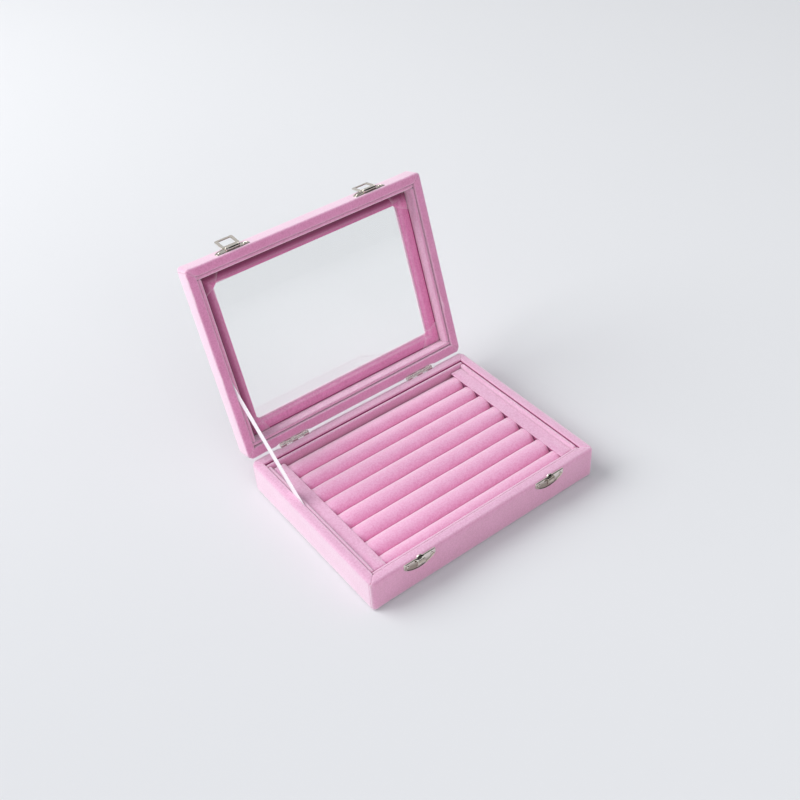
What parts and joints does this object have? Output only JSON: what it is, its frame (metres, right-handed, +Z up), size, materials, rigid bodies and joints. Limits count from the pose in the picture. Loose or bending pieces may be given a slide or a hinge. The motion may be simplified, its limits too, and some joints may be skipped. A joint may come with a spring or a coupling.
{
  "type": "ring display box",
  "caption": "Velvet-wrapped display box with padded ring rolls in its tray, a hinged window lid held open by a ribbon stay, and hasp latches.",
  "frame": {"origin": "centre of the underside, on the surface the box rests on", "axes": "+X to the box's right seen from the front, +Y to the hinged back, +Z up; the latches face -Y"},
  "size_m": [0.2, 0.2161, 0.1754],
  "materials": {
    "pink_velvet": "flocked velvet, short soft nap, pale sheen at grazing angles",
    "roll_velvet": "flocked velvet over soft foam, short nap",
    "underside_paper": "thin flocked paper sheet, matte",
    "card": "uncoated grey card",
    "fibreboard": "raw fibreboard, hidden under the velvet",
    "glass": "clear polished sheet glass",
    "white_satin": "woven satin ribbon, soft gloss",
    "nickel_plate": "stamped steel, bright nickel plate"
  },
  "bodies": {
    "base": {"base_back_wall": "fibreboard", "base_bottom_board": "fibreboard", "base_front_wall": "fibreboard", "base_left_wall": "fibreboard", "base_liner_back": "pink_velvet", "base_liner_front": "pink_velvet", "base_liner_left": "pink_velvet", "base_liner_right": "pink_velvet", "base_right_wall": "fibreboard", "base_underside_sheet": "underside_paper", "base_velvet_cover": "pink_velvet", "catch_plate_left": "nickel_plate", "catch_plate_nails": "nickel_plate", "catch_plate_right": "nickel_plate", "end_rail_left": "pink_velvet", "end_rail_right": "pink_velvet", "hinge_base_leaf_left": "nickel_plate", "hinge_base_leaf_right": "nickel_plate", "hinge_base_nails": "nickel_plate", "hinge_pin_left": "nickel_plate", "hinge_pin_right": "nickel_plate", "ribbon_stay": "white_satin", "ring_roll_1": "roll_velvet", "ring_roll_2": "roll_velvet", "ring_roll_3": "roll_velvet", "ring_roll_4": "roll_velvet", "ring_roll_5": "roll_velvet", "ring_roll_6": "roll_velvet", "ring_roll_7": "roll_velvet", "ring_roll_8": "roll_velvet", "tray_card": "card"},
    "lid": {"glass_pane": "glass", "hasp_pin_left": "nickel_plate", "hasp_pin_right": "nickel_plate", "hinge_lid_leaf_left": "nickel_plate", "hinge_lid_leaf_right": "nickel_plate", "hinge_lid_nails": "nickel_plate", "latch_plate_left": "nickel_plate", "latch_plate_nails": "nickel_plate", "latch_plate_right": "nickel_plate", "lid_back_wall": "fibreboard", "lid_front_wall": "fibreboard", "lid_left_wall": "fibreboard", "lid_liner_back": "pink_velvet", "lid_liner_front": "pink_velvet", "lid_liner_left": "pink_velvet", "lid_liner_right": "pink_velvet", "lid_right_wall": "fibreboard", "lid_top_board": "fibreboard", "lid_velvet_cover": "pink_velvet", "mat_corner_patches": "pink_velvet", "window_mat": "pink_velvet"},
    "left_hasp": {"hasp_loop_left": "nickel_plate"},
    "right_hasp": {"hasp_loop_right": "nickel_plate"}
  },
  "joints": [
    {"name": "lid_hinge", "type": "hinge", "parent": "base", "child": "lid", "pos_m": [0, 0.0765, 0.0277], "axis": [1, 0, 0], "range_deg": [0, 106.6], "deforming": ["ribbon_stay"]},
    {"name": "left_hasp_pivot", "type": "hinge", "parent": "lid", "child": "left_hasp", "pos_m": [-0.0605, 0.12342, 0.17389], "axis": [-1, 0, 0], "range_deg": [-162, 23]},
    {"name": "right_hasp_pivot", "type": "hinge", "parent": "lid", "child": "right_hasp", "pos_m": [0.056, 0.12342, 0.17389], "axis": [-1, 0, 0], "range_deg": [-175, 10]}
  ]
}
